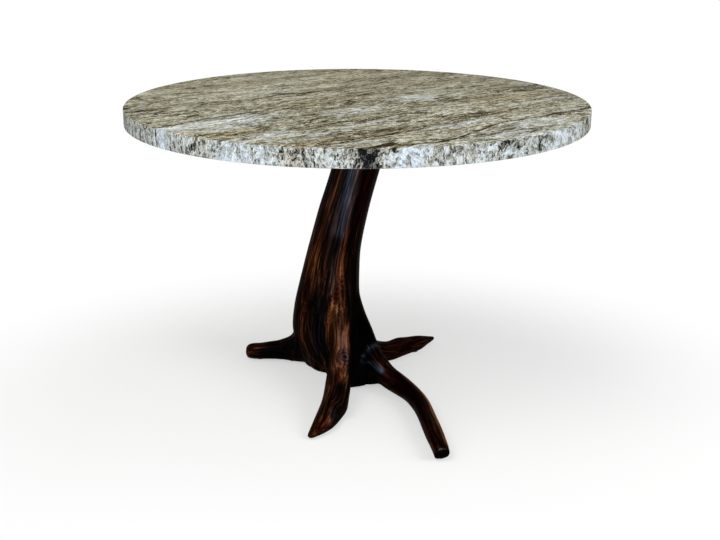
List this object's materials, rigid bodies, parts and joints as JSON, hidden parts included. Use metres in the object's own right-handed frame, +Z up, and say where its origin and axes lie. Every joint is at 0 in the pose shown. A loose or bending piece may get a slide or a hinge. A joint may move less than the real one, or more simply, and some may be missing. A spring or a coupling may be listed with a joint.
{
  "type": "tree stump table",
  "caption": "Round granite dining table on a single leaning tree trunk whose dark, polished roots spread over the floor as feet.",
  "frame": {"origin": "on the floor, under the centre of the round granite top", "axes": "+Z up, +Y away from the viewer of the picture, +X to the viewer's right, so that the long right root runs towards -Y"},
  "size_m": [1.2188, 1.219, 0.75],
  "materials": {
    "granite": "polished beige and grey veined granite with a flat cut edge",
    "rosewood": "dark brown root wood, sanded and oiled to a soft gloss",
    "painted_steel": "black powder coated steel plate",
    "rubber": "black rubber pads",
    "brass": "turned brass",
    "zinc_steel": "zinc plated steel",
    "nylon": "brown moulded nylon"
  },
  "bodies": {
    "root": {"granite_top": "granite", "root_stump": "rosewood", "mounting_plate": "painted_steel", "setting_pads": "rubber", "stone_inserts": "brass", "stone_bolts": "zinc_steel", "bolt_washers": "zinc_steel", "trunk_screws": "zinc_steel", "left_glide": "nylon", "front_glide": "nylon", "right_glide": "nylon", "back_glide": "nylon", "glide_screws": "zinc_steel"}
  },
  "joints": []
}
